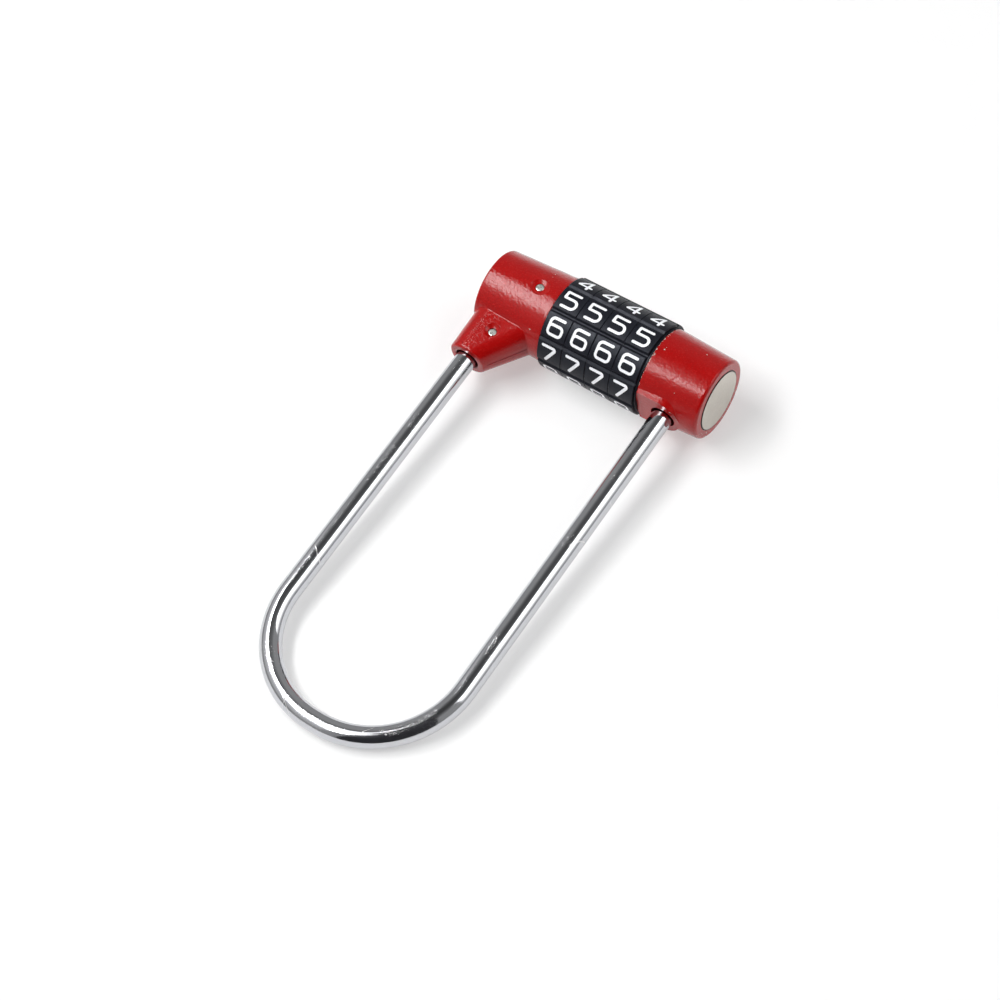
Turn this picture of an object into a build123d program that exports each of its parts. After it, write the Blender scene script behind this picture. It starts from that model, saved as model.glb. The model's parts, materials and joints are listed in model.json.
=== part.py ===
"""Four-dial combination padlock with a long bent-wire shackle, resting face down.

The lock is drawn in its own barrel frame: the barrel axis is X, the shackle legs run towards -Y and
the side that faces up is +Z. At the end every piece is tilted about the barrel axis, so that the
dials and the bow of the shackle rest on the same plane, and moved so that the origin is the bottom
centre of the whole lock. All sizes are in millimetres.
"""
from build123d import *

import math
import os

# ---- driving dimensions -------------------------------------------------------------------------
WIRE_D = 5.0                # shackle wire
LEG_SPACING = 46.0          # between the axes of the two legs
BOW_DEPTH = 108.5           # barrel axis to the centre line of the bow
BOW_RADIUS = 22.25          # centre-line radius of the two corners of the bow
HEEL_TOP = 6.0              # end of the heel leg, past the barrel axis
TOE_TOP = 4.5               # end of the toe leg, past the barrel axis
PULL = 14.5                 # travel of the shackle from closed to stopped

DIAL_D = 22.0
DIAL_PITCH = 6.3
DIAL_COUNT = 4
DIAL_START = 13.65          # left end of the stack of dials
DIAL_GAP = 0.08             # between neighbouring dials
DIGITS = 10
CELL = 360 / DIGITS         # angle taken by one digit
CODE_TURN = 0.5             # the line where the code is read, past the side opposite +Z

HOUSING_R = 10.3            # housings, where they meet the dials
HOUSING_END_R = 9.5         # housings, at the ends of the barrel
LEFT_END = -4.6
LEFT_FACE = 13.6            # face of the left housing next to the dials
RIGHT_FACE = 39.35          # face of the right housing next to the dials
RIGHT_END = 54.4

CORE_R = 4.6
CORE_START = 4.7
CORE_HEAD_R = 7.0
CORE_HEAD_START = 41.3
CAP_R = 7.15
CAP_THICK = 1.2
CAP_PROUD = 0.15
CAP_GAP = 0.11              # round the cap

BOLT_R = 2.0
BOLT_TRAVEL = 3.5
FIT = 0.05                  # radial clearance of a running fit
SIDE_GAP = 0.1              # end clearance between neighbouring pieces

# ---- derived sizes ------------------------------------------------------------------------------
WIRE_R = WIRE_D / 2
DIAL_R = DIAL_D / 2
DIAL_CENTRES = [DIAL_START + DIAL_PITCH * (k + 0.5) for k in range(DIAL_COUNT)]
DIAL_WIDTH = DIAL_PITCH - DIAL_GAP
STACK_END = DIAL_START + DIAL_PITCH * DIAL_COUNT
TOE_X = LEG_SPACING
CODE_LINE = Rot(-CODE_TURN, 0, 0)
CAM_SLOPE = BOLT_TRAVEL / PULL
TILT = math.degrees(math.asin((DIAL_R - WIRE_R) / BOW_DEPTH))


def x_rod(radius, start, end):
    """Cylinder about the barrel axis, from start to end."""
    return Pos((start + end) / 2, 0, 0) * Rot(0, 90, 0) * Cylinder(radius, end - start)


def y_rod(radius, x, start, end):
    """Cylinder parallel to the shackle legs at x, from y = start to y = end."""
    return Pos(x, (start + end) / 2, 0) * Rot(90, 0, 0) * Cylinder(radius, end - start)


def z_rod(radius, x, y, start, end):
    """Cylinder across the lock at (x, y), from z = start to z = end."""
    return Pos(x, y, (start + end) / 2) * Cylinder(radius, end - start)


def block(x_range, y_range, z_range):
    """Box given by its lowest and highest coordinate along each axis."""
    spans = (x_range, y_range, z_range)
    middle = [(low + high) / 2 for low, high in spans]
    return Pos(*middle) * Box(*[high - low for low, high in spans])


def turned(points):
    """Solid of revolution about the barrel axis from (x, radius) points."""
    return revolve(make_face(Polyline(*points, close=True)), Axis.X)


def rims(shape, x):
    """Circular edges of the shape that lie in the plane at x."""
    circles = shape.edges().filter_by(GeomType.CIRCLE)
    return circles.filter_by(lambda edge: abs(edge.center().X - x) < 0.01)


def largest(edges):
    """The longest of the edges, as a list for a fillet."""
    return [edges.sort_by(Edge.length)[-1]]


def cell_plane(angle, radius, x):
    """Plane tangent to a dial: angle is measured from -Y towards +Z, its y axis runs that way round."""
    turn = math.radians(angle)
    outward = (0, -math.cos(turn), math.sin(turn))
    origin = (x, radius * outward[1], radius * outward[2])
    return Plane(origin=origin, x_dir=(1, 0, 0), z_dir=outward)


def across(x):
    """Plane square to the barrel at x, with its x axis along the legs and its z axis towards -X."""
    return Plane(origin=(x, 0, 0), x_dir=(0, -1, 0), z_dir=(-1, 0, 0))


# ---- left housing -------------------------------------------------------------------------------
BOSS_TIP = -19.0            # end face of the boss, along the heel leg
BOSS_TIP_R = 4.5
BOSS_ROOT = -6.0            # root section of the boss, inside the barrel
BOSS_ROOT_LEFT = -4.5
BOSS_ROOT_RIGHT = 13.3
BOSS_ROOT_Z = 5.5
BOSS_CORNER = 4.2
RIDGE_HALF = 0.14
RIDGE_PROUD = 0.1
LEG_BORE_R = WIRE_R + 0.08
HEEL_MOUTH_R = 2.85
HEEL_BORE_TOP = HEEL_TOP + 0.6
BARREL_PIN_X = 8.1
BARREL_PIN_Y = 0.35
PIN_R = 1.0
STOP_PIN_X = 3.1
STOP_PIN_Y = -12.3
CORE_SOCKET_R = CORE_R + FIT


def boss(proud=0):
    """Gusset that carries the heel leg: round at its tip, spreading along the barrel at its root."""
    tip = Plane(origin=(0, BOSS_TIP, 0), x_dir=(1, 0, 0), z_dir=(0, -1, 0))
    middle = (BOSS_ROOT_LEFT + BOSS_ROOT_RIGHT) / 2
    width = BOSS_ROOT_RIGHT - BOSS_ROOT_LEFT
    root = Plane(origin=(middle, BOSS_ROOT, 0), x_dir=(1, 0, 0), z_dir=(0, -1, 0))
    sections = [
        root * RectangleRounded(width + 2 * proud, 2 * (BOSS_ROOT_Z + proud), BOSS_CORNER + proud),
        tip * RectangleRounded(2 * (BOSS_TIP_R + proud), 2 * (BOSS_TIP_R + proud), BOSS_CORNER + proud),
    ]
    return loft(sections, ruled=True)


def parting_ridge():
    """Fine ridge that the die leaves round the boss, in its middle plane."""
    lengths = (BOSS_TIP + 0.8, BOSS_ROOT - 3.5)
    slab = block((LEFT_END - 1, LEFT_FACE), lengths, (-RIDGE_HALF, RIDGE_HALF))
    return boss(RIDGE_PROUD) & slab


def pin_dish(x, y, surface_z, radius, depth):
    """Ball that cuts a shallow dish of the given rim radius round a pin."""
    ball = (radius * radius + depth * depth) / (2 * depth)
    return Pos(x, y, surface_z - depth + ball) * Sphere(ball)


BARREL_PIN_TOP = 9.55
BARREL_DISH = (BARREL_PIN_X, BARREL_PIN_Y, 10.02, 2.35, 0.65)
STOP_PIN_TOP = 4.45
STOP_DISH = (STOP_PIN_X, STOP_PIN_Y, 4.85, 1.6, 0.55)
BARREL_PIN_END = -7.5
STOP_PIN_END = -3.6


def left_housing():
    barrel = turned([(LEFT_END, 0), (LEFT_END, HOUSING_END_R), (LEFT_FACE, HOUSING_R), (LEFT_FACE, 0)])
    barrel = fillet(largest(rims(barrel, LEFT_END)), 0.5)
    barrel = fillet(largest(rims(barrel, LEFT_FACE)), 0.25)
    horn = boss()
    horn = fillet(horn.faces().sort_by(Axis.Y)[0].edges(), 0.7)
    body = barrel + horn
    seam = new_edges(barrel, horn, combined=body)
    body = fillet(seam, 0.5)
    body += parting_ridge()
    body -= y_rod(LEG_BORE_R, 0, BOSS_TIP - 1, HEEL_BORE_TOP)
    body -= y_rod(HEEL_MOUTH_R, 0, BOSS_TIP - 1, BOSS_TIP + 1.6)
    body = fillet(body.edges().filter_by(GeomType.CIRCLE).sort_by(Axis.Y)[0], 0.35)
    body -= x_rod(CORE_SOCKET_R, CORE_START - SIDE_GAP, LEFT_FACE + 1)
    body -= pin_dish(*BARREL_DISH)
    body -= pin_dish(*STOP_DISH)
    body -= z_rod(PIN_R, BARREL_PIN_X, BARREL_PIN_Y, BARREL_PIN_END, HOUSING_R)
    body -= z_rod(PIN_R, STOP_PIN_X, STOP_PIN_Y, STOP_PIN_END, BOSS_ROOT_Z)
    return body - index_mark(LEFT_FACE - INDEX_LENGTH, LEFT_FACE)


# ---- right housing ------------------------------------------------------------------------------
PAD_Y = -9.7                # flat that the toe leg enters
PAD_HALF = 5.15
PAD_DEPTH = 3.0
PAD_END_X = TOE_X - 0.9     # centre of the round end of the pad
PAD_DRAFT = 18
PAD_BLEND = 0.5            # where the pad runs into the barrel beyond the toe leg
TOE_MOUTH_R = 3.0
INDEX_LENGTH = 2.2
INDEX_WIDTH = 0.7
INDEX_DEPTH = 0.35


def index_mark(start, end):
    """Short groove that shows where the code is read, on the side opposite +Z."""
    heights = (-HOUSING_R - 0.5, -HOUSING_R + INDEX_DEPTH)
    return CODE_LINE * block((start, end), (-INDEX_WIDTH / 2, INDEX_WIDTH / 2), heights)


def pad_outline(start):
    """Face of the pad: a tongue from start with a round end beside the toe leg."""
    tongue = Pos((start + PAD_END_X) / 2, 0) * Rectangle(PAD_END_X - start, 2 * PAD_HALF)
    return tongue + Pos(PAD_END_X, 0) * Circle(PAD_HALF)


def toe_pad():
    """Raised pad with a flat face that widens towards the barrel."""
    plane = Plane(origin=(0, PAD_Y, 0), x_dir=(1, 0, 0), z_dir=(0, 1, 0))
    pad = extrude(plane * pad_outline(RIGHT_FACE + 0.3), amount=PAD_DEPTH, taper=-PAD_DRAFT)
    return pad & block((RIGHT_FACE + 0.3, RIGHT_END), (PAD_Y - 1, 0), (-HOUSING_R, HOUSING_R))


def toe_relief():
    """What is cut away so that the flat runs past the crown of the barrel."""
    plane = Plane(origin=(0, PAD_Y, 0), x_dir=(1, 0, 0), z_dir=(0, -1, 0))
    return extrude(plane * pad_outline(RIGHT_FACE - 1), amount=PAD_DEPTH)


def right_housing():
    barrel = turned(
        [(RIGHT_FACE, 0), (RIGHT_FACE, HOUSING_R), (RIGHT_END, HOUSING_END_R), (RIGHT_END, 0)]
    )
    barrel = fillet(largest(rims(barrel, RIGHT_END)), 0.7)
    barrel = fillet(largest(rims(barrel, RIGHT_FACE)), 0.25)
    pad = toe_pad()
    body = barrel + pad
    seam = new_edges(barrel, pad, combined=body).filter_by(lambda edge: edge.center().X > TOE_X)
    body = fillet(seam, PAD_BLEND) - toe_relief()
    body -= x_rod(CORE_SOCKET_R, RIGHT_FACE - 1, RIGHT_END)
    body -= x_rod(CORE_HEAD_R + FIT, CORE_HEAD_START, RIGHT_END + 1)
    body -= x_rod(CAP_R + CAP_GAP, RIGHT_END - CAP_THICK + CAP_PROUD, RIGHT_END + 1)
    body -= y_rod(TOE_MOUTH_R, TOE_X, PAD_Y - 1, -1)
    return body - index_mark(RIGHT_FACE, RIGHT_FACE + INDEX_LENGTH)


def end_cap():
    inner = RIGHT_END + CAP_PROUD - CAP_THICK
    cap = x_rod(CAP_R, inner, RIGHT_END + CAP_PROUD)
    return fillet(largest(rims(cap, RIGHT_END + CAP_PROUD)), 0.12)


# ---- core ---------------------------------------------------------------------------------------
BOLT_BORE_R = BOLT_R + FIT
BOLT_BORE_START = 10.0
FIN_THICK = 1.0
FIN_WIDTH = 1.6
FIN_R = 5.6
FIN_OFFSET = 0.9            # from the middle of a dial to the near face of its fin
SLOT_WIDTH = 1.9
CHANNEL_FLOOR = 3.7
CHANNEL_WIDTH = 1.3
DETENT_THICK = 0.25
DETENT_WIDTH = 1.0


def core_tube():
    """Headed tube that carries the dials; the toe hole crosses its head and the bolt runs inside."""
    core = x_rod(CORE_R, CORE_START, CORE_HEAD_START + 1)
    core += x_rod(CORE_HEAD_R, CORE_HEAD_START + SIDE_GAP, RIGHT_END + CAP_PROUD - CAP_THICK - FIT)
    core -= x_rod(BOLT_BORE_R, BOLT_BORE_START, TOE_X)
    core -= y_rod(LEG_BORE_R, TOE_X, -CORE_HEAD_R - 1, TOE_TOP + 0.6)
    slot_start = DIAL_CENTRES[0] + FIN_OFFSET - BOLT_TRAVEL - 0.3
    slot_end = DIAL_CENTRES[-1] + FIN_OFFSET + FIN_THICK + 0.3
    slot = block((slot_start, slot_end), (-SLOT_WIDTH / 2, SLOT_WIDTH / 2), (-CORE_R - 1, 0))
    core -= CODE_LINE * slot
    channel = (DIAL_START + 0.2, STACK_END - 0.2)
    sides = (-CHANNEL_WIDTH / 2, CHANNEL_WIDTH / 2)
    core -= CODE_LINE * block(channel, sides, (CHANNEL_FLOOR, CORE_R + 1))
    return core - z_rod(PIN_R, BARREL_PIN_X, BARREL_PIN_Y, -CORE_R - 1, CORE_R + 1)


def barrel_pin():
    """Pin that holds the core in the left housing."""
    pin = z_rod(PIN_R, BARREL_PIN_X, BARREL_PIN_Y, BARREL_PIN_END, BARREL_PIN_TOP)
    return fillet(pin.faces().sort_by(Axis.Z)[-1].edges(), 0.3)


def stop_pin():
    """Pin across the boss, beside the heel leg, that keeps the shackle in."""
    pin = z_rod(PIN_R, STOP_PIN_X, STOP_PIN_Y, STOP_PIN_END, STOP_PIN_TOP)
    return fillet(pin.faces().sort_by(Axis.Z)[-1].edges(), 0.3)


def detent_spring():
    """Leaf in the channel of the core, with one hump under each dial."""
    start = DIAL_START + 0.4
    end = STACK_END - 0.4
    floor = CHANNEL_FLOOR
    crest = CODE_BORE_R + DETENT_RISE - DETENT_THICK
    points = [(start, floor)]
    for centre in DIAL_CENTRES:
        points += [(centre - 1.9, floor), (centre - 0.5, crest), (centre + 0.5, crest), (centre + 1.9, floor)]
    points.append((end, floor))
    upper = [(x, z + DETENT_THICK) for x, z in reversed(points)]
    side = Plane(origin=(0, DETENT_WIDTH / 2, 0), x_dir=(1, 0, 0), z_dir=(0, -1, 0))
    leaf = extrude(side * make_face(Polyline(*points, *upper, close=True)), amount=DETENT_WIDTH)
    return CODE_LINE * leaf


# ---- bolt ---------------------------------------------------------------------------------------
BOLT_START = 17.0
STEM_R = 0.9
STEM_START = BOLT_BORE_START + BOLT_TRAVEL + 0.3
NOTCH_DEPTH = 1.0
NOTCH_LOW = -BOLT_R - 0.2
RAMP_LOW = 0.2
NOSE_GAP = 0.1
NOTCH_X = TOE_X - WIRE_R + NOTCH_DEPTH
NOSE_X = NOTCH_X - NOSE_GAP


def ramp_wedge(x_at_low, side):
    """Half space beyond the shared slope of the notch and the nose, as a wide prism."""
    length = 12.0
    low = (x_at_low, RAMP_LOW)
    high = (x_at_low - length * CAM_SLOPE, RAMP_LOW + length)
    far = x_at_low + side * 8.0
    outline = make_face(Polyline(low, high, (far, high[1]), (far, low[1]), close=True))
    return Pos(0, 0, -5) * extrude(outline, amount=10)


def locking_bolt():
    """Spindle with one fin for each dial; its sloping nose fills the notch of the toe."""
    bolt = x_rod(BOLT_R, BOLT_START, NOSE_X) + x_rod(STEM_R, STEM_START, BOLT_START + 1)
    bolt -= ramp_wedge(NOSE_X, 1)
    for centre in DIAL_CENTRES:
        near = centre + FIN_OFFSET
        fin = block((near, near + FIN_THICK), (-FIN_WIDTH / 2, FIN_WIDTH / 2), (-FIN_R, -1))
        bolt += CODE_LINE * fin
    return bolt


SPRING_WIRE_R = 0.2
SPRING_R = 1.5
SPRING_TURNS = 6


def bolt_spring():
    """Coil spring round the stem of the bolt."""
    start = BOLT_BORE_START + SPRING_WIRE_R + FIT
    length = BOLT_START - start - SPRING_WIRE_R - FIT
    helix = Helix(pitch=length / SPRING_TURNS, height=length, radius=SPRING_R)
    section = Plane(origin=helix @ 0, z_dir=helix % 0) * Circle(SPRING_WIRE_R)
    return Pos(start, 0, 0) * Rot(0, 90, 0) * sweep(section, path=helix, is_frenet=True)


# ---- shackle ------------------------------------------------------------------------------------
def shackle():
    """Bent wire: a groove and a flat on the heel run on the stop pin, the toe has the bolt's notch."""
    route = FilletPolyline(
        (TOE_X, TOE_TOP), (TOE_X, -BOW_DEPTH), (0, -BOW_DEPTH), (0, HEEL_TOP), radius=BOW_RADIUS
    )
    section = Plane(origin=route @ 0, z_dir=route % 0) * Circle(WIRE_R)
    wire = sweep(section, path=route)
    ends = wire.edges().filter_by(GeomType.CIRCLE).sort_by(Axis.Y)
    wire = chamfer(ends[-2:], 0.6)
    wire -= block((NOTCH_X - 4, NOTCH_X), (NOTCH_LOW, RAMP_LOW), (-5, 5))
    wire -= ramp_wedge(NOTCH_X, -1) & y_rod(WIRE_R + 1, TOE_X, RAMP_LOW, TOE_TOP + 1)
    flat_x = STOP_PIN_X - PIN_R - SIDE_GAP
    pulled = STOP_PIN_Y + PULL
    low = STOP_PIN_Y - PIN_R - SIDE_GAP
    high = pulled + PIN_R + SIDE_GAP
    wire -= block((flat_x, flat_x + 4), (low, high), (-5, 5))
    groove = y_rod(WIRE_R + 1, 0, high - 2 * (PIN_R + SIDE_GAP), high)
    return wire - (groove - y_rod(flat_x, 0, low, high))


# ---- dials --------------------------------------------------------------------------------------
GROOVE_HALF = 0.66          # half width of the groove between two digits, at its mouth
GROOVE_FLOOR = 0.14
GROOVE_DEPTH = 0.5
RECESS_R = DIAL_R - 0.26    # floor of the engraved digits
PAINT_R = DIAL_R - 0.03     # surface of the paint in them
DIAL_EDGE_R = 0.16
DIAL_BORE_R = 7.35
SPLINE_R = 7.85
SPLINE_WIDTH = 1.5

CODE_BORE_R = CORE_R + FIT
CODE_R = 7.25
CHAMBER_R = 5.95
WEB_HALF = 0.65
GATE_WIDTH = 2.0
SCALLOP_R = 1.6
SCALLOP_DEPTH = 0.3
DETENT_RISE = 0.16          # of the humps of the leaf above the bore of a code sleeve

STROKE = 0.66
HALF_W = 1.7                # centre lines of the digits
HALF_H = 1.9


def stroke(*points, radius=0, width=STROKE):
    """Line of constant width with round ends and rounded corners."""
    line = FilletPolyline(*points, radius=radius) if len(points) > 2 else Polyline(*points)
    return SlotArc(line, width)


def ring(low, high, half_width, radius):
    """Closed stroke round a rounded rectangle between two heights."""
    centre = Pos(0, (low + high) / 2)
    outer = RectangleRounded(2 * half_width + STROKE, high - low + STROKE, radius + STROKE / 2)
    inner = RectangleRounded(2 * half_width - STROKE, high - low - STROKE, radius - STROKE / 2)
    return centre * (outer - inner)


def glyphs():
    """Outlines of the ten digits, drawn about the middle of a cell."""
    w = HALF_W
    h = HALF_H
    bar = 0.32
    hook = stroke((1.5, h), (-w, h), (-w, -0.5), radius=0.95)
    six = hook + ring(-h, bar, w, 0.8)
    return [
        ring(-h, h, w, 0.9),
        stroke((-1.0, 1.2), (0.2, h), (0.2, -h), radius=0.2),
        stroke((-w, 1.1), (-w, h), (w, h), (w, 0.1), (-w, -0.5), (-w, -h), (w, -h),
               radius=[0.7, 0.9, 0.9, 0.6, 0.35]),
        stroke((-w, h), (w, h), (w, 0.1), (-0.6, 0.1), radius=[0.9, 0.7])
        + stroke((-0.6, 0.1), (w, 0.1), (w, -h), (-w, -h), radius=[0.7, 0.9]),
        stroke((0.62, -h), (0.62, h)) + stroke((0.45, 1.72), (-w, -1.0), (1.45, -1.0), radius=0.12),
        stroke((1.5, h), (-w, h), (-w, bar), (w, bar), (w, -h), (-1.5, -h), radius=[0.1, 0.1, 1.08, 1.08]),
        six,
        stroke((-w, h), (w, h), (-0.75, -h), radius=0.4, width=0.74),
        ring(-h, 0.1, w, 0.6) + ring(0.1, h, w - 0.15, 0.6),
        Rot(0, 0, 180) * six,
    ]


def digit_solids():
    """The ten digits as solid bars through the rim of a dial whose middle is at x = 0; 5 is on top."""
    bars = []
    for digit, outline in enumerate(glyphs()):
        plane = cell_plane(90 + CELL * (5 - digit), RECESS_R - 0.5, 0)
        bars.append(extrude(plane * outline, amount=1.5))
    return bars


def dial_ring(bars):
    """Number ring, middle at x = 0: ten pads parted by grooves, with sunk digits and inner splines."""
    half = DIAL_WIDTH / 2
    blank = x_rod(DIAL_R, -half, half)
    blank = fillet(rims(blank, -half) + rims(blank, half), DIAL_EDGE_R)
    groove = Polygon(
        (0.2, GROOVE_HALF + 0.2), (-GROOVE_DEPTH, GROOVE_FLOOR), (-GROOVE_DEPTH, -GROOVE_FLOOR),
        (0.2, -GROOVE_HALF - 0.2), align=None,
    )
    section = Circle(DIAL_R + 0.05)
    for k in range(DIGITS):
        section -= Rot(0, 0, CELL * k) * Pos(DIAL_R, 0) * groove
    corners = section.vertices().filter_by(lambda v: math.hypot(v.X, v.Y) > DIAL_R - 0.2)
    section = fillet(corners, 0.15)
    bore = Circle(DIAL_BORE_R)
    for k in range(DIGITS):
        bore += Rot(0, 0, CELL * (k + 0.5)) * Pos(SPLINE_R / 2, 0) * Rectangle(SPLINE_R, SPLINE_WIDTH)
    body = blank & extrude(across(half) * (section - bore), amount=DIAL_WIDTH)
    rim = x_rod(DIAL_R + 1, -half, half) - x_rod(RECESS_R, -half - 1, half + 1)
    for bar in bars:
        body -= bar & rim
    return body


def paint(bars):
    """White filling of the digits of one dial, middle at x = 0."""
    shell = x_rod(PAINT_R, -DIAL_WIDTH, DIAL_WIDTH) - x_rod(RECESS_R, -DIAL_WIDTH - 1, DIAL_WIDTH + 1)
    return Compound(children=[Solid(part.wrapped) for bar in bars for part in (bar & shell).solids()])


def code_sleeve():
    """Sleeve inside a dial, middle at x = 0: a web with the gate and ten scallops, splined outside."""
    half = DIAL_WIDTH / 2 - 0.1
    section = Circle(CODE_R)
    for k in range(DIGITS):
        tooth = Rectangle(SPLINE_R - 0.1, SPLINE_WIDTH - 0.2)
        section += Rot(0, 0, CELL * (k + 0.5)) * Pos((SPLINE_R - 0.1) / 2, 0) * tooth
    sleeve = extrude(across(half) * section, amount=2 * half)
    sleeve -= x_rod(CODE_BORE_R, -half - 1, half + 1)
    sleeve -= x_rod(CHAMBER_R, -half - 1, -WEB_HALF)
    sleeve -= x_rod(CHAMBER_R, WEB_HALF, half + 1)
    scallop_centre = CODE_BORE_R + SCALLOP_DEPTH - SCALLOP_R
    for k in range(DIGITS):
        plane = cell_plane(90 + CELL * k, scallop_centre, 0)
        sleeve -= plane * Rot(0, 90, 0) * Cylinder(SCALLOP_R, 4 * WEB_HALF)
    return sleeve - block((-2, 2), (-GATE_WIDTH / 2, GATE_WIDTH / 2), (-CHAMBER_R, -2))


def dial_washer():
    """Thin washer between the last dial and the right housing."""
    washer = x_rod(10.3, STACK_END + 0.05, RIGHT_FACE - 0.05)
    return washer - x_rod(CORE_R + FIT, STACK_END - 1, RIGHT_FACE + 1)


# ---- the whole lock -----------------------------------------------------------------------------
def pieces():
    """Every piece by name, in the barrel frame."""
    found = {
        "left_housing": left_housing(),
        "right_housing": right_housing(),
        "core_tube": core_tube(),
        "end_cap": end_cap(),
        "barrel_pin": barrel_pin(),
        "stop_pin": stop_pin(),
        "detent_spring": detent_spring(),
        "dial_washer": dial_washer(),
        "shackle": shackle(),
        "locking_bolt": locking_bolt(),
        "bolt_spring": bolt_spring(),
    }
    bars = digit_solids()
    ring_body = dial_ring(bars)
    filling = paint(bars)
    sleeve = code_sleeve()
    for number, centre in enumerate(DIAL_CENTRES, start=1):
        place = Pos(centre, 0, 0) * CODE_LINE
        found[f"dial_{number}"] = place * ring_body
        found[f"numerals_{number}"] = place * filling
        found[f"code_sleeve_{number}"] = place * sleeve
    return found


def placement(shapes):
    """Tilt onto the resting plane, with the origin at the bottom centre of the whole lock."""
    tilted = Compound(children=[Rot(TILT, 0, 0) * shape for shape in shapes.values()])
    box = tilted.bounding_box()
    middle = box.center()
    return Pos(-middle.X, -middle.Y, -box.min.Z) * Rot(TILT, 0, 0)


def main():
    shapes = pieces()
    place = placement(shapes)
    os.makedirs("parts", exist_ok=True)
    for name, shape in shapes.items():
        export_step(place * shape, f"parts/{name}.step")


if __name__ == "__main__":
    main()
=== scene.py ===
"""Looks of the four-dial combination padlock: materials, floor, studio light and camera."""

import json
import math

import bpy
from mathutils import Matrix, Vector

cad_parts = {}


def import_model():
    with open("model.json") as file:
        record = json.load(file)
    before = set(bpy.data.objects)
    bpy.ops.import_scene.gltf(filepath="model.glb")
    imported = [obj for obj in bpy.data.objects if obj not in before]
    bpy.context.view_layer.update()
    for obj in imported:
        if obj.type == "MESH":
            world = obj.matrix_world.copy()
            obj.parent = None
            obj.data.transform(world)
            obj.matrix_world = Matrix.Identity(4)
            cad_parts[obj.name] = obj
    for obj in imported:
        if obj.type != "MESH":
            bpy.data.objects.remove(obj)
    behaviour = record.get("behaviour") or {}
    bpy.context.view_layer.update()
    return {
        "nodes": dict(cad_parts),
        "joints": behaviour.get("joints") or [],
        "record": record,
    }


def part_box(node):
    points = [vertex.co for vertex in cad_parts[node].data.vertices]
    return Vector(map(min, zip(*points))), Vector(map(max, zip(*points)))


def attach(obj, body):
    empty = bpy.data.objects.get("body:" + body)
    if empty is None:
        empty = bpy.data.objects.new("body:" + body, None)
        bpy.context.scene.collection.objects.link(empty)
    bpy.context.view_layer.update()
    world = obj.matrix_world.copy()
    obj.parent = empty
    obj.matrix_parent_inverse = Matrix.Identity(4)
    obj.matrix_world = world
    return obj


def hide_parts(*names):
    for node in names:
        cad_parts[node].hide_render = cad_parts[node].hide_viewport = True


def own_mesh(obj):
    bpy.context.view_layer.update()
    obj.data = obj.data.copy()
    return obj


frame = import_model()

MM = 0.001
MICRON = 0.000001
SCENE = bpy.context.scene
LIGHT_DISTANCE = 0.9            # of the lights from the lock
CARD_DISTANCE = 1.3             # of the dark card
CEILING_FADE = (48, 80)         # elevations between which the walls get dark
KEY_AZIMUTHS = (-196, -107)     # of the key light; 0 is +X and 90 is +Y, as for every azimuth below

# ---- where the looks need to know the shape -------------------------------------------------------
joints = {joint["name"]: joint for joint in frame["joints"]}
barrel_axis = Vector(joints["dial_1_turn"]["pos_m"])
right_low, right_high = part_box("right_housing")
cap_low, cap_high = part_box("end_cap")
cap_radius = (cap_high.z - cap_low.z) / 2


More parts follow.
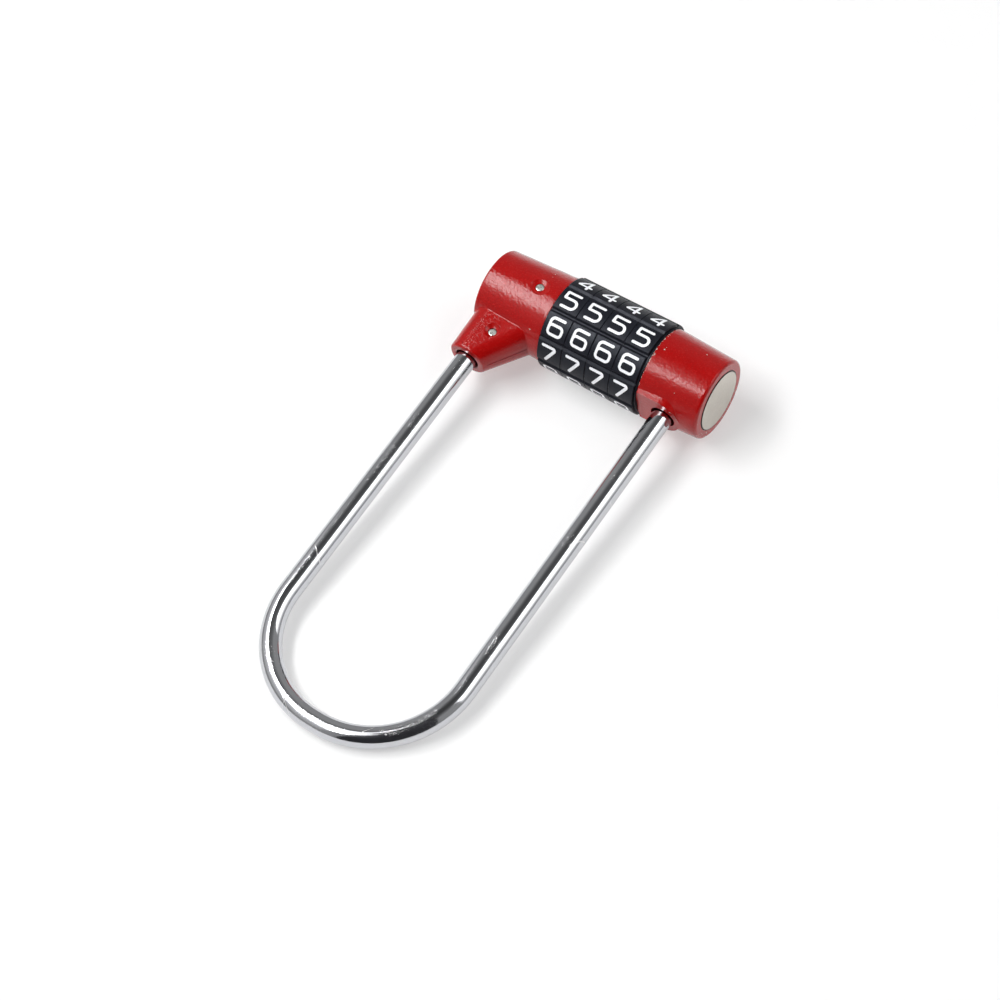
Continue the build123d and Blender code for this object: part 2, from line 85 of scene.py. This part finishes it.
# ---- node helpers ---------------------------------------------------------------------------------
class Look:
    """A material with short calls for the nodes that the looks below are made of."""

    def __init__(self, name):
        self.material = bpy.data.materials.new(name)
        self.material.use_nodes = True
        self.tree = self.material.node_tree
        self.shader = self.tree.nodes["Principled BSDF"]
        self.place = self.node("ShaderNodeTexCoord").outputs["Object"]

    def node(self, kind, **settings):
        made = self.tree.nodes.new(kind)
        for key, value in settings.items():
            setattr(made, key, value)
        return made

    def feed(self, socket, value):
        """Links a socket, or sets it to a plain value."""
        if isinstance(value, bpy.types.NodeSocket):
            self.tree.links.new(value, socket)
        else:
            socket.default_value = value

    def set(self, **values):
        """Sets sockets of the shader by name, with _ for a space."""
        for key, value in values.items():
            self.feed(self.shader.inputs[key.replace("_", " ")], value)

    def coordinate(self, axis):
        """X, Y or Z in the frame of the lock at rest, in metres."""
        parts = self.node("ShaderNodeSeparateXYZ")
        self.feed(parts.inputs[0], self.place)
        return parts.outputs[axis]

    def math(self, operation, a, b=0.0):
        made = self.node("ShaderNodeMath", operation=operation)
        self.feed(made.inputs[0], a)
        self.feed(made.inputs[1], b)
        return made.outputs[0]

    def noise(self, size, detail=2.0, roughness=0.5, stretch=(1, 1, 1)):
        """Noise whose features are about size metres across."""
        mapping = self.node("ShaderNodeMapping")
        self.feed(mapping.inputs["Vector"], self.place)
        mapping.inputs["Scale"].default_value = stretch
        made = self.node("ShaderNodeTexNoise")
        self.feed(made.inputs["Vector"], mapping.outputs["Vector"])
        made.inputs["Scale"].default_value = 1 / size
        made.inputs["Detail"].default_value = detail
        made.inputs["Roughness"].default_value = roughness
        return made.outputs["Fac"]

    def cells(self, size):
        """Random value for each cell about size metres across."""
        made = self.node("ShaderNodeTexVoronoi")
        self.feed(made.inputs["Vector"], self.place)
        made.inputs["Scale"].default_value = 1 / size
        return made.outputs["Color"]

    def between(self, value, low, high, out_low=0.0, out_high=1.0):
        """Smooth step of value from low to high."""
        made = self.node("ShaderNodeMapRange", interpolation_type="SMOOTHSTEP")
        for key, number in zip(("Value", "From Min", "From Max", "To Min", "To Max"),
                               (value, low, high, out_low, out_high)):
            self.feed(made.inputs[key], number)
        return made.outputs["Result"]

    def mix(self, factor, a, b):
        made = self.node("ShaderNodeMix", data_type="RGBA")
        for index, value in ((0, factor), (6, a), (7, b)):
            self.feed(made.inputs[index], value)
        return made.outputs[2]

    def bump(self, height, distance, normal=None):
        """Normal of a relief that is distance metres deep where height is 1."""
        made = self.node("ShaderNodeBump")
        self.feed(made.inputs["Height"], height)
        made.inputs["Distance"].default_value = distance
        if normal is not None:
            self.feed(made.inputs["Normal"], normal)
        return made.outputs["Normal"]


def rgb(red, green, blue):
    """Linear colour from 0-255 display values."""
    channels = []
    for value in (red, green, blue):
        share = value / 255
        channels.append(share / 12.92 if share <= 0.04045 else ((share + 0.055) / 1.055) ** 2.4)
    return (*channels, 1.0)


# ---- materials ------------------------------------------------------------------------------------
def red_paint():
    """Glossy baked paint: fine fleck, orange peel, painted shade in each crease and round the end
    cap, and chips at two rims.
    """
    look = Look("red_paint")
    fleck = look.cells(0.22 * MM)
    grain = look.noise(0.35 * MM, detail=3)
    cloud = look.noise(4 * MM, detail=2)
    deep = look.mix(cloud, (0.31, 0.0008, 0.0008, 1), (0.35, 0.0012, 0.001, 1))
    flecked = look.mix(look.between(fleck, 0.6, 1.0, 0.0, 0.2), deep, (0.6, 0.04, 0.035, 1))
    # Painted shade: ambient occlusion darkens the paint in creases and hollows.
    painted_crease_shade = look.node("ShaderNodeAmbientOcclusion", samples=8)
    painted_crease_shade.inputs["Distance"].default_value = 0.9 * MM
    open_air = look.between(painted_crease_shade.outputs["AO"], 0.35, 0.9)
    shaded = look.mix(open_air, (0.09, 0.001, 0.001, 1), flecked)
    chips = chip_mask(look)
    # Painted shade: a dark ring on the end face just round the end cap, where the gap beside it is
    # shaded.
    at_end = look.between(look.coordinate("X"), right_high.x - 0.6 * MM, right_high.x - 0.4 * MM)
    radius = barrel_radius(look)
    outside = look.between(radius, cap_radius + 0.1 * MM, cap_radius + 0.3 * MM, 0.85, 0.0)
    cap_gap_shaded = look.mix(look.math("MULTIPLY", at_end, outside), shaded, (0.03, 0.002, 0.002, 1))
    look.set(Base_Color=look.mix(chips, cap_gap_shaded, rgb(196, 188, 180)), Metallic=0.0, Roughness=0.42)
    look.set(Coat_Weight=1.0, Coat_Roughness=0.09, Coat_IOR=1.34, Specular_IOR_Level=0.05)
    peel = look.bump(look.noise(0.6 * MM, detail=3), 70 * MICRON)
    fine = look.bump(grain, 14 * MICRON, normal=peel)
    dents = look.bump(chips, -50 * MICRON, normal=fine)
    look.set(Normal=dents, Coat_Normal=fine)
    return look.material


def barrel_radius(look):
    """Distance from the barrel axis, in metres."""
    across = look.node("ShaderNodeVectorMath", operation="MULTIPLY_ADD")
    look.feed(across.inputs[0], look.place)
    across.inputs[1].default_value = (0, 1, 1)
    across.inputs[2].default_value = (0, -barrel_axis.y, -barrel_axis.z)
    length = look.node("ShaderNodeVectorMath", operation="LENGTH")
    look.feed(length.inputs[0], across.outputs["Vector"])
    return length.outputs["Value"]


def cap_steel():
    """Satin steel disc, darker round its edge as painted shade of the gap around it."""
    look = Look("satin_steel")
    grain = look.noise(0.3 * MM, detail=4, roughness=0.6)
    tone = look.mix(look.noise(3 * MM), rgb(210, 205, 195), rgb(201, 196, 187))
    # Painted shade: a thin dark ring in the colour at the disc's edge.
    edge = look.between(barrel_radius(look), cap_radius - 0.24 * MM, cap_radius - 0.06 * MM)
    look.set(Base_Color=look.mix(edge, tone, rgb(62, 52, 50)), Metallic=1.0)
    look.set(Roughness=look.between(grain, 0.3, 0.7, 0.3, 0.48))
    look.set(Normal=look.bump(grain, 4 * MICRON))
    return look.material


def chip_mask(look):
    """Where the paint is chipped: rim beside the dials, foot of the end rim and rare specks."""
    x, height = look.coordinate("X"), look.coordinate("Z")
    ragged = look.noise(0.5 * MM, detail=4, roughness=0.7)
    beyond = look.between(x, right_low.x - 0.2 * MM, right_low.x - 0.1 * MM)
    near = look.between(x, right_low.x + 0.1 * MM, right_low.x + 0.8 * MM, 0.25, 0.0)
    upper = look.between(height, 12 * MM, 17 * MM)
    dial_rim = look.math("MULTIPLY", look.math("MULTIPLY", beyond, near), upper)
    end = look.between(x, right_high.x - 0.9 * MM, right_high.x - 0.3 * MM, 0.0, 0.17)
    foot = look.math("MULTIPLY", end, look.between(height, 10.5 * MM, 7.5 * MM))
    speck = look.between(look.noise(1.2 * MM, detail=0), 0.8, 0.86, 0.0, 0.25)
    lift = look.math("ADD", look.math("ADD", dial_rim, foot), speck)
    return look.between(look.math("ADD", ragged, lift), 0.76, 0.79)


def black_plastic():
    """Moulded plastic, faintly blue, with a fine satin grain."""
    look = Look("black_plastic")
    tone = look.mix(look.noise(2 * MM, detail=3), rgb(18, 19, 26), rgb(25, 27, 34))
    look.set(Base_Color=tone, Specular_IOR_Level=0.19, Specular_Tint=(0.86, 0.9, 1.0, 1))
    look.set(Roughness=look.between(look.noise(0.6 * MM, detail=3), 0.3, 0.7, 0.32, 0.46))
    look.set(Normal=look.bump(look.noise(0.25 * MM, detail=2), 6 * MICRON))
    return look.material


def white_paint():
    """Paint filled into the digits, a little uneven."""
    look = Look("white_paint")
    tone = look.mix(look.noise(0.8 * MM, detail=3), rgb(236, 238, 242), rgb(245, 246, 249))
    look.set(Base_Color=tone, Roughness=0.45)
    look.set(Normal=look.bump(look.noise(0.4 * MM, detail=2), 10 * MICRON))
    return look.material


def metal(name, colour, roughness, grain, streak=(1, 1, 1)):
    """Bare or plated metal with a fine tool grain."""
    look = Look(name)
    lines = look.noise(grain, detail=4, roughness=0.6, stretch=streak)
    tone = look.mix(look.noise(3 * MM), colour, tuple(c * 0.92 for c in colour[:3]) + (1.0,))
    look.set(Base_Color=tone, Metallic=1.0)
    look.set(Roughness=look.between(lines, 0.3, 0.7, roughness * 0.8, roughness * 1.25))
    look.set(Normal=look.bump(lines, 4 * MICRON))
    return look.material


def chrome():
    """Bright chrome plating over drawn wire: faint draw lines, rub marks and hairline scratches."""
    look = Look("chrome")
    draw = look.noise(0.5 * MM, detail=3, stretch=(1, 0.04, 1))
    smudge = look.noise(6 * MM, detail=4)
    specks = look.between(look.noise(0.3 * MM, detail=4, roughness=0.8), 0.56, 0.62)
    rub = look.math("MULTIPLY", specks, look.between(look.noise(9 * MM, detail=1), 0.5, 0.62))
    steep = scratch(look, (0.5, 0.9, 0.0), 21 * MM)
    flat = scratch(look, (0.93, -0.5, 0.2), 17 * MM)
    scratches = look.math("MAXIMUM", steep, flat)
    worn = look.math("MAXIMUM", look.math("MULTIPLY", rub, 0.5), scratches)
    look.set(Base_Color=look.mix(worn, rgb(198, 199, 203), rgb(228, 227, 226)), Metallic=1.0)
    gloss = look.between(smudge, 0.35, 0.7, 0.05, 0.11)
    look.set(Roughness=look.math("ADD", gloss, look.math("MULTIPLY", worn, 0.3)))
    look.set(Normal=look.bump(worn, -6 * MICRON, normal=look.bump(draw, 2.5 * MICRON)))
    return look.material


def scratch(look, across, pitch):
    """Hairlines square to a direction, about a pitch apart, broken up and slightly wavy."""
    along = look.node("ShaderNodeVectorMath", operation="DOT_PRODUCT")
    look.feed(along.inputs[0], look.place)
    along.inputs[1].default_value = across
    wave = look.math("MULTIPLY", look.noise(20 * MM, detail=1), 0.5 * pitch)
    turns = look.math("MULTIPLY", look.math("ADD", along.outputs["Value"], wave), 1 / pitch)
    offset = look.math("ABSOLUTE", look.math("SUBTRACT", look.math("FRACT", turns), 0.5))
    line = look.between(offset, 0.05 * MM / pitch, 0.09 * MM / pitch, 1.0, 0.0)
    shown = look.between(look.noise(7 * MM, detail=2), 0.54, 0.62, 0.0, 0.8)
    return look.math("MULTIPLY", line, shown)


materials = {
    "red_paint": red_paint(),
    "black_plastic": black_plastic(),
    "white_paint": white_paint(),
    "chrome": chrome(),
    "satin_steel": cap_steel(),
    "bright_steel": metal("bright_steel", rgb(214, 216, 210), 0.3, 0.4 * MM),
    "spring_steel": metal("spring_steel", rgb(150, 152, 156), 0.3, 0.4 * MM),
    "zinc": metal("zinc", rgb(178, 181, 186), 0.42, 0.6 * MM),
    "brass": metal("brass", rgb(206, 172, 96), 0.3, 0.3 * MM, streak=(0.1, 1, 1)),
    "washer_plastic": black_plastic(),
}
for part in frame["record"]["subparts"]:
    node = frame["nodes"][part["node"]]
    node.data.materials.clear()
    node.data.materials.append(materials[part["material_slot"]])


# ---- the spring behind the bolt -------------------------------------------------------------------
def coil_spring():
    """The bolt's spring, copied onto the lock body in place of the imported one."""
    made = bpy.data.objects.new("coil_spring", frame["nodes"]["bolt_spring"].data.copy())
    SCENE.collection.objects.link(made)
    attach(made, "lock_body")
    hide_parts("bolt_spring")
    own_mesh(made)


coil_spring()


# ---- floor, light and camera ----------------------------------------------------------------------
def floor():
    """Pale light table that the lock rests on."""
    side = 6.0                  # half its width in metres
    mesh = bpy.data.meshes.new("floor")
    corners = [(-side, -side, 0), (side, -side, 0), (side, side, 0), (-side, side, 0)]
    mesh.from_pydata(corners, [], [(0, 1, 2, 3)])
    made = bpy.data.objects.new("floor", mesh)
    SCENE.collection.objects.link(made)
    look = Look("floor_paper")
    tone = look.mix(look.noise(20 * MM, detail=3), rgb(185, 185, 185), rgb(189, 189, 189))
    look.set(Base_Color=tone, Roughness=0.8, Emission_Color=(1, 1, 1, 1), Emission_Strength=0.42)
    mesh.materials.append(look.material)


def sky_patch(name, azimuths, elevations, distance, look):
    """Curved card round the lock, between two azimuths and two elevations in degrees."""
    columns, rows = 12, 8
    points = []
    for row in range(rows + 1):
        rise = math.radians(elevations[0] + (elevations[1] - elevations[0]) * row / rows)
        for column in range(columns + 1):
            turn = math.radians(azimuths[0] + (azimuths[1] - azimuths[0]) * column / columns)
            level = distance * math.cos(rise)
            height = distance * math.sin(rise)
            points.append((level * math.cos(turn), level * math.sin(turn), height))
    faces = []
    for row in range(rows):
        for column in range(columns):
            corner = row * (columns + 1) + column
            faces.append((corner, corner + columns + 1, corner + columns + 2, corner + 1))
    mesh = bpy.data.meshes.new(name)
    mesh.from_pydata(points, [], faces)
    mesh.materials.append(look.material)
    made = bpy.data.objects.new(name, mesh)
    SCENE.collection.objects.link(made)
    made.visible_camera = False


def softbox(name, azimuths, elevations, radiance, low_radiance=0.0, fade=None):
    """Light that is even, or gets dimmer down through the elevations in fade."""
    look = Look(name)
    look.set(Base_Color=(0, 0, 0, 1), Emission_Color=(1, 1, 1, 1), Specular_IOR_Level=0.0)
    strength = radiance
    if fade:
        low, high = [LIGHT_DISTANCE * math.sin(math.radians(rise)) for rise in fade]
        strength = look.between(look.coordinate("Z"), low, high, low_radiance, radiance)
    look.set(Emission_Strength=strength)
    sky_patch(name, azimuths, elevations, LIGHT_DISTANCE, look)


def dark_card(name, azimuths, elevations):
    """Dark felt that the chrome and the paint reflect."""
    look = Look(name)
    look.set(Base_Color=(0.05, 0.05, 0.055, 1), Roughness=0.9, Specular_IOR_Level=0.1)
    sky_patch(name, azimuths, elevations, CARD_DISTANCE, look)


def world(side, top):
    """Pale walls that get darker towards the ceiling."""
    made = bpy.data.worlds.new("studio")
    made.use_nodes = True
    tree = made.node_tree
    place = tree.nodes.new("ShaderNodeTexCoord")
    parts = tree.nodes.new("ShaderNodeSeparateXYZ")
    fade = tree.nodes.new("ShaderNodeMapRange")
    tree.links.new(place.outputs["Generated"], parts.inputs[0])
    tree.links.new(parts.outputs["Z"], fade.inputs["Value"])
    low, high = [math.sin(math.radians(rise)) for rise in CEILING_FADE]
    for key, number in zip(("From Min", "From Max", "To Min", "To Max"), (low, high, side, top)):
        fade.inputs[key].default_value = number
    background = tree.nodes["Background"]
    background.inputs["Color"].default_value = (1, 1, 1, 1)
    tree.links.new(fade.outputs["Result"], background.inputs["Strength"])
    SCENE.world = made


def camera():
    """Long lens, looking down on the lock from its front right."""
    data = bpy.data.cameras.new("camera")
    data.lens = 95.4
    data.sensor_width = 36.0
    data.clip_start, data.clip_end = 0.05, 20
    made = bpy.data.objects.new("camera", data)
    SCENE.collection.objects.link(made)
    made.location = (0.20773, -0.23065, 0.48887)
    made.rotation_euler = [math.radians(turn) for turn in (32.776, 4.277, 34.551)]
    SCENE.camera = made


floor()
world(0.36, 0.07)
softbox("key_low", KEY_AZIMUTHS, (18, 50), 1.6, 0.6, (34, 50))
softbox("key_core", KEY_AZIMUTHS, (50, 64), 16.0, 4.0, (50, 56))
softbox("key_top", KEY_AZIMUTHS, (64, 76), 2.0)
softbox("side", (2, 56), (3, 59), 3.0, 0.5, (10, 54))
dark_card("front_card", (-94, -20), (-1, 90))
camera()
SCENE.view_settings.view_transform = "Standard"
